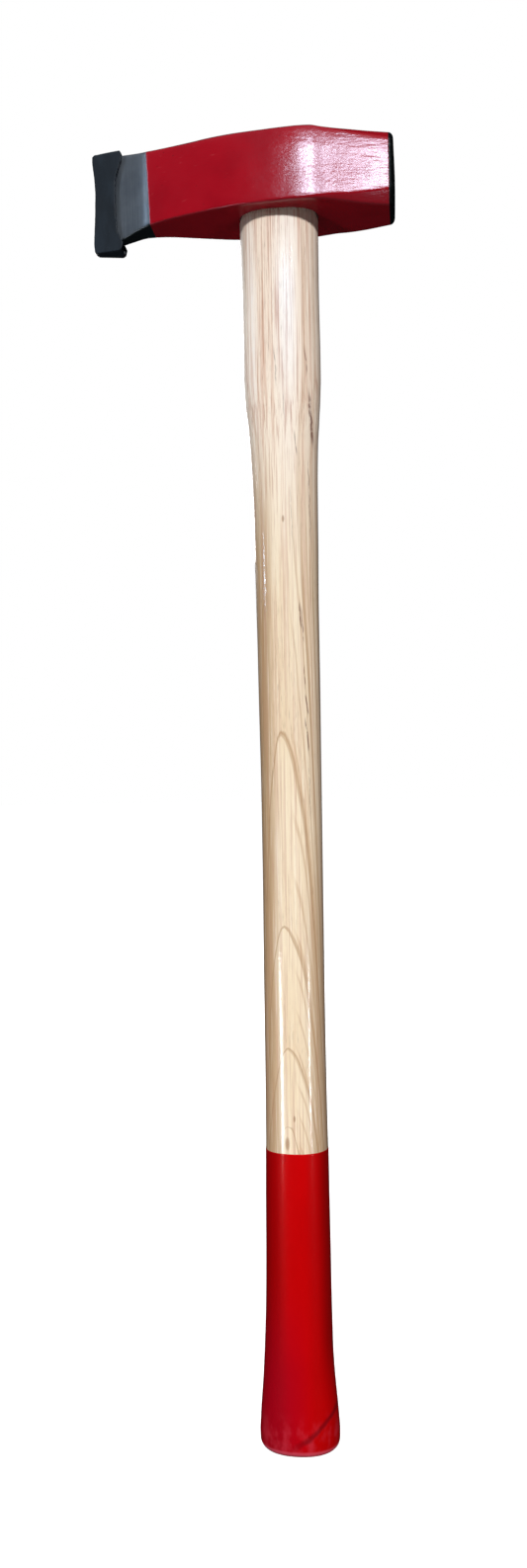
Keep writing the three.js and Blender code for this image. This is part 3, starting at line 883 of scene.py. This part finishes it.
def make_handle():
    rings = foot_rings(WOOD_FLOOR, 0.0)
    rings += body_rings(BUTT_RADIUS, HANDLE[-1][0], RING_STEP, 0.0)
    rings += eye_rings(TONGUE_START, HANDLE_TOP - TONGUE_ROUNDING, 24, EYE_GAP)
    top = rings[-1].copy()
    middle = np.array([0, 0, HANDLE_TOP])
    for share in TONGUE_TOP_SHARES:
        ring = middle + (top - middle) * share
        ring[:, 2] = HANDLE_TOP - 0.3 if share == TONGUE_TOP_SHARES[0] else HANDLE_TOP
        rings.append(ring)
    handle = skin("hickory_shaft", rings)
    roughen(handle, height=0.18, scale=0.03, seed=5.0, stretch=(1, 1, 0.4))
    kerf_tool = wood_wedge("kerf_tool", WEDGE_CLEARANCE)
    combine(handle, "DIFFERENCE", kerf_tool, *steel_wedge_tools())
    shade_smooth(handle, 40)
    handle.data.materials.append(hickory_finish())
    return handle


def make_coat():
    """Dip coat: a thin cup over the grip, with a soft bead at its upper line."""
    outer = foot_rings(0.0, COAT_WALL)
    outer += body_rings(BUTT_RADIUS, COAT_TOP - COAT_BEAD_DEPTH, RING_STEP, COAT_WALL)
    width, depth, shift = read_handle(COAT_TOP)
    for below, grow in COAT_BEAD:
        outer.append(oval(COAT_TOP - below, width + 2 * grow, depth + 2 * grow, shift, HANDLE_OVAL))
    inner = foot_rings(COAT_FLOOR, COAT_GAP)
    inner += body_rings(BUTT_RADIUS, COAT_TOP - COAT_INNER_EDGE, COAT_INNER_STEP, COAT_GAP)
    coat = skin("dip_coat", outer + inner[::-1])
    shade_smooth(coat, 50)
    coat.data.materials.append(dip_finish())
    return coat


def make_wooden_wedge():
    wedge = wood_wedge("kerf_wedge", 0.0)
    trim = eye_rings(HANDLE_TOP - KERF_DEPTH - 1, HANDLE_TOP + 0.3, 20, 0.4)
    combine(wedge, "INTERSECT", skin("wedge_trim", trim))
    combine(wedge, "DIFFERENCE", *steel_wedge_tools())
    shade_smooth(wedge, 30)
    wedge.data.materials.append(wedge_wood_finish())
    return wedge


def make_steel_wedge(index, x, finish):
    wedge = steel_wedge(f"barbed_wedge_{index}", x, 0.0, 0.0)
    bevel = wedge.modifiers.new("bevel", "BEVEL")
    bevel.width = 0.12 * MM  # under half of the tip's 0.3 mm
    bevel.segments = 2
    bevel.limit_method = "ANGLE"
    apply_modifiers(wedge)
    shade_smooth(wedge, 35)
    wedge.data.materials.append(finish)
    return wedge


# ---- Edge guard ---------------------------------------------------------------------------------
# Side outline (x, z): hollowed nose on the left, rim notched back from its two corners on the right.
GUARD_OUTLINE = [
    (-130.4, 834.2), (-128.6, 833.0), (-112.0, 832.7), (-110.2, 834.0), (-109.2, 838.0),
    (-113.1, 846.6), (-114.1, 855.0), (-114.6, 870.0), (-114.6, 879.6), (-113.9, 884.6),
    (-109.8, 896.0), (-109.4, 900.6), (-110.6, 902.6), (-129.6, 902.5), (-131.3, 901.2),
    (-131.4, 897.5), (-130.1, 886.0), (-129.5, 876.0), (-129.7, 863.0), (-130.4, 850.0),
    (-131.0, 840.0),
]
GUARD_WALL = 1.9
GUARD_GAP = 0.35  # between the guard and the bit
GUARD_NOSE_X, GUARD_MOUTH_X = -132.0, -104.0  # its tools reach a little past both its ends
POCKET_BOTTOM, POCKET_TOP = 834.4, 901.0
POCKET_DEPTH_GAP = 0.8  # between the cutting edge and the pocket's end
BLOCK_BOTTOM, BLOCK_TOP, BLOCK_REACH = 825, 910, 20  # blocks larger than the guard, to cut it from
GUARD_VOXEL = 0.36


def plan_wedge(name, nose_x, grow, low, high):
    """Block between two heights that follows the bit in plan, grown by grow on each side.

    Ahead of the cutting edge it is as thick as at the edge."""
    mouth_x = GUARD_MOUTH_X
    nose_half = read_thickness(max(nose_x, EDGE_PLACES[0])) / 2 + grow
    mouth_half = read_thickness(mouth_x) / 2 + grow
    outline = [
        (nose_x, -nose_half), (mouth_x, -mouth_half), (mouth_x, mouth_half), (nose_x, nose_half),
    ]
    return prism(name, outline, low, high, "Z")


def make_guard():
    guard = prism("guard_shell", GUARD_OUTLINE, -BLOCK_REACH, BLOCK_REACH, "Y")
    block = plan_wedge("outer_tool", GUARD_NOSE_X, GUARD_GAP + GUARD_WALL, BLOCK_BOTTOM, BLOCK_TOP)
    combine(guard, "INTERSECT", block)
    pocket_end = EDGE_X - EDGE_BOW - POCKET_DEPTH_GAP
    pocket = plan_wedge("pocket_tool", pocket_end, GUARD_GAP, POCKET_BOTTOM, POCKET_TOP)
    combine(guard, "DIFFERENCE", pocket)
    # Voxels and smoothing round every edge as a moulding's are.
    remesh = guard.modifiers.new("remesh", "REMESH")
    remesh.mode = "VOXEL"
    remesh.voxel_size = GUARD_VOXEL * MM
    apply_modifiers(guard)
    smooth = guard.modifiers.new("smooth", "SMOOTH")
    smooth.factor = 0.5
    smooth.iterations = 7
    apply_modifiers(guard)
    roughen(guard, height=0.10, scale=0.09, seed=12.0)
    shade_smooth(guard, 80)
    guard.data.materials.append(rubber_finish())
    return guard


# ---- Stage, lights and camera, in metres --------------------------------------------------------
CAMERA_PLACE = Vector((0.0868, -0.8526, 0.4579))
CAMERA_YAW = math.radians(7.0)  # the poll is turned a little towards the camera
CAMERA_ROLL = math.radians(1.0)
CAMERA_LENS = 28.36
MIDDLE, UPPER_SHAFT, GRIP = (Vector((0.0, 0.0, height)) for height in (0.46, 0.7, 0.25))
BIT = Vector((-0.1, 0.0, 0.87))
WHITE, COOL_WHITE = (1.0, 1.0, 1.0), (0.94, 0.97, 1.0)
BLUE, PALE_BLUE = (0.34, 0.68, 1.0), (0.60, 0.80, 1.0)
SKY_LIGHT, GROUND_LIGHT, LEVEL_LIGHT = 0.62, 0.16, 0.012
FLOOR_REACH = 30000  # in millimetres, as the floor's height is
FLOOR_HEIGHT = -0.2


def make_camera():
    data = bpy.data.cameras.new("camera")
    data.lens = CAMERA_LENS
    data.clip_start = 0.01
    camera = bpy.data.objects.new("camera", data)
    upright = Matrix.Rotation(CAMERA_YAW, 4, "Z") @ Matrix.Rotation(math.pi / 2, 4, "X")
    roll = Matrix.Rotation(-CAMERA_ROLL, 4, "Z")
    camera.matrix_world = Matrix.Translation(CAMERA_PLACE) @ upright @ roll
    bpy.context.scene.collection.objects.link(camera)
    bpy.context.scene.camera = camera


def softbox(name, azimuth, height, distance, size, power, colour=WHITE, aim=MIDDLE):
    """Area light round the tool, in metres and watts. Azimuth 0 is in front, at -Y, and 90 at +X."""
    turn = math.radians(azimuth)
    data = bpy.data.lights.new(name, "AREA")
    data.shape = "RECTANGLE"
    data.size, data.size_y = size
    data.energy = power
    data.color = colour
    light = bpy.data.objects.new(name, data)
    place = Vector((math.sin(turn) * distance, -math.cos(turn) * distance, height))
    facing = (aim - place).to_track_quat("-Z", "Y").to_matrix().to_4x4()
    light.matrix_world = Matrix.Translation(place) @ facing
    light.visible_camera = False
    bpy.context.scene.collection.objects.link(light)


def make_world():
    """White to the camera. As a light, bright high in front and underfoot, dark level with the tool."""
    world = bpy.data.worlds.new("studio")
    world.use_nodes = True
    tree = world.node_tree
    tree.nodes.clear()
    output = tree.nodes.new("ShaderNodeOutputWorld")
    coordinates = tree.nodes.new("ShaderNodeTexCoord")
    split = tree.nodes.new("ShaderNodeSeparateXYZ")
    tree.links.new(coordinates.outputs["Generated"], split.inputs[0])
    behind, up = Number(tree, split.outputs[1]), Number(tree, split.outputs[2])
    sky = up.step(0.45, 0.85) * behind.step(0.35, -0.35) * SKY_LIGHT
    ground = up.step(-0.45, -0.8) * GROUND_LIGHT
    light = tree.nodes.new("ShaderNodeBackground")
    light.inputs["Color"].default_value = (*COOL_WHITE, 1.0)
    feed(tree, sky + ground + LEVEL_LIGHT, light.inputs["Strength"])
    backdrop = tree.nodes.new("ShaderNodeBackground")
    backdrop.inputs["Color"].default_value = (*WHITE, 1.0)
    rays = tree.nodes.new("ShaderNodeLightPath")
    choose = tree.nodes.new("ShaderNodeMixShader")
    tree.links.new(rays.outputs["Is Camera Ray"], choose.inputs[0])
    tree.links.new(light.outputs[0], choose.inputs[1])
    tree.links.new(backdrop.outputs[0], choose.inputs[2])
    tree.links.new(choose.outputs[0], output.inputs["Surface"])
    bpy.context.scene.world = world


def make_floor():
    """Pale floor, bright enough to run into the white backdrop, with a faint shadow under the tool."""
    signs = ((-1, -1), (1, -1), (1, 1), (-1, 1))
    corners = [(x * FLOOR_REACH, y * FLOOR_REACH, FLOOR_HEIGHT) for x, y in signs]
    floor = mesh_object("pale_floor", corners, [(0, 1, 2, 3)])
    paint = Finish("pale_floor_paint")
    mottle = paint.noise((0.004, 0.004, 0.004), seed=111.0, detail=3.0)
    distance = (paint.x * paint.x + paint.y * paint.y) ** 0.5
    paint.set(
        Base_Color=paint.mix(mottle, (0.82, 0.82, 0.82), (0.86, 0.86, 0.86)),
        Roughness=0.9,
        Specular_IOR_Level=0.0,
        Emission_Color=WHITE,
        Emission_Strength=0.72 + distance.step(150, 2500) * 0.24,
    )
    floor.data.materials.append(paint.material)
    floor.visible_diffuse = False
    floor.visible_glossy = False


def make_stage():
    make_camera()
    make_world()
    make_floor()
    # Three boxes in a row, high in front, seen as the bands of light on the cheek.
    softbox("key_light", 4.8, 2.95, 4.5, (0.78, 0.36), 124)
    softbox("key_fade", -4.0, 2.95, 4.5, (0.58, 0.36), 27)
    softbox("key_right", 19.4, 2.95, 4.5, (0.62, 0.36), 96)
    # Narrow ones at the sides, seen as lines down the lacquer, the bit and the grip.
    softbox("left_window", -68, 1.50, 2.0, (0.06, 0.50), 3.0, BLUE)
    softbox("left_pane", -68, 0.92, 2.0, (0.05, 0.12), 1.2, PALE_BLUE)
    softbox("bit_light", -64, 1.83, 2.0, (0.16, 0.4), 3.2, COOL_WHITE, BIT)
    softbox("low_left", -37, 0.12, 0.75, (0.10, 0.24), 1.5, aim=GRIP)
    softbox("low_right", 45, 0.12, 0.75, (0.05, 0.22), 0.8, aim=GRIP)
    softbox("thin_left", -95, 1.08, 1.0, (0.03, 0.42), 1.1, aim=UPPER_SHAFT)
    # A broad one behind, for the far side.
    softbox("back_light", -154, 1.5, 2.2, (1.4, 1.0), 32)
    bpy.context.scene.view_settings.view_transform = "Standard"


# ---- Assembly -----------------------------------------------------------------------------------
def fit_to_frame(piece, body, node):
    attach(piece, body)
    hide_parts(node)


make_stage()
fit_to_frame(make_head(), "maul", "maul_head")
fit_to_frame(make_handle(), "maul", "hickory_handle")
fit_to_frame(make_coat(), "maul", "grip_dip_coat")
fit_to_frame(make_wooden_wedge(), "maul", "wooden_wedge")
wedge_steel = wedge_steel_finish()
for number, wedge_x in enumerate(STEEL_WEDGE_X, 1):
    steel_piece = make_steel_wedge(number, wedge_x, wedge_steel)
    fit_to_frame(steel_piece, "maul", f"steel_wedge_{number}")
fit_to_frame(make_guard(), "guard", "edge_guard")
